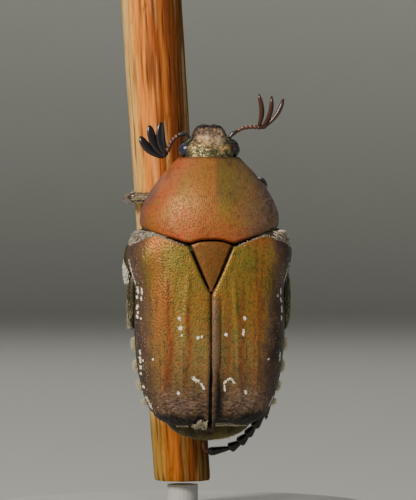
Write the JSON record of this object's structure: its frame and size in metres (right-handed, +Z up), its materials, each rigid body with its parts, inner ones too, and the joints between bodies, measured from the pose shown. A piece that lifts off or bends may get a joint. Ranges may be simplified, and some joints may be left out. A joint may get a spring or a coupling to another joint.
{
  "type": "flower beetle",
  "caption": "Olive flower beetle, life size, clinging head up to a short cut dry stem that stands on a plain round display stand",
  "frame": {"origin": "centre of the underside of the round base", "axes": "+Z up, along the beetle from tail to head; -Y is the way its back faces; -X is the beetle's left"},
  "size_m": [0.026, 0.026, 0.0369],
  "materials": {
    "copper_cuticle": "coppery red metallic cuticle with fine punctures, softly glossy",
    "olive_cuticle": "olive gold metallic cuticle with fine wrinkles, softly glossy",
    "head_cuticle": "coarsely punctured green and gold metallic cuticle",
    "eye": "glossy black brown compound eye",
    "antenna_brown": "glossy chestnut brown",
    "dark_bronze": "dark bronze cuticle with short pale hairs",
    "dry_stem": "dry plant stem with lengthwise straw, orange and brown streaks, matt",
    "stand_paint": "plain warm grey, matt"
  },
  "bodies": {
    "root": {"head": "head_cuticle", "eye_left": "eye", "eye_right": "eye", "antenna_left": "antenna_brown", "antenna_right": "antenna_brown", "pronotum": "copper_cuticle", "scutellum": "copper_cuticle", "elytron_left": "olive_cuticle", "elytron_right": "olive_cuticle", "thorax": "dark_bronze", "abdomen": "dark_bronze", "pygidium": "olive_cuticle", "leg_front_left": "dark_bronze", "leg_front_right": "dark_bronze", "leg_middle_left": "dark_bronze", "leg_middle_right": "dark_bronze", "leg_hind_left": "dark_bronze", "leg_hind_right": "dark_bronze", "perch_stem": "dry_stem", "stand_rod": "stand_paint", "stand_base": "stand_paint"}
  },
  "joints": []
}
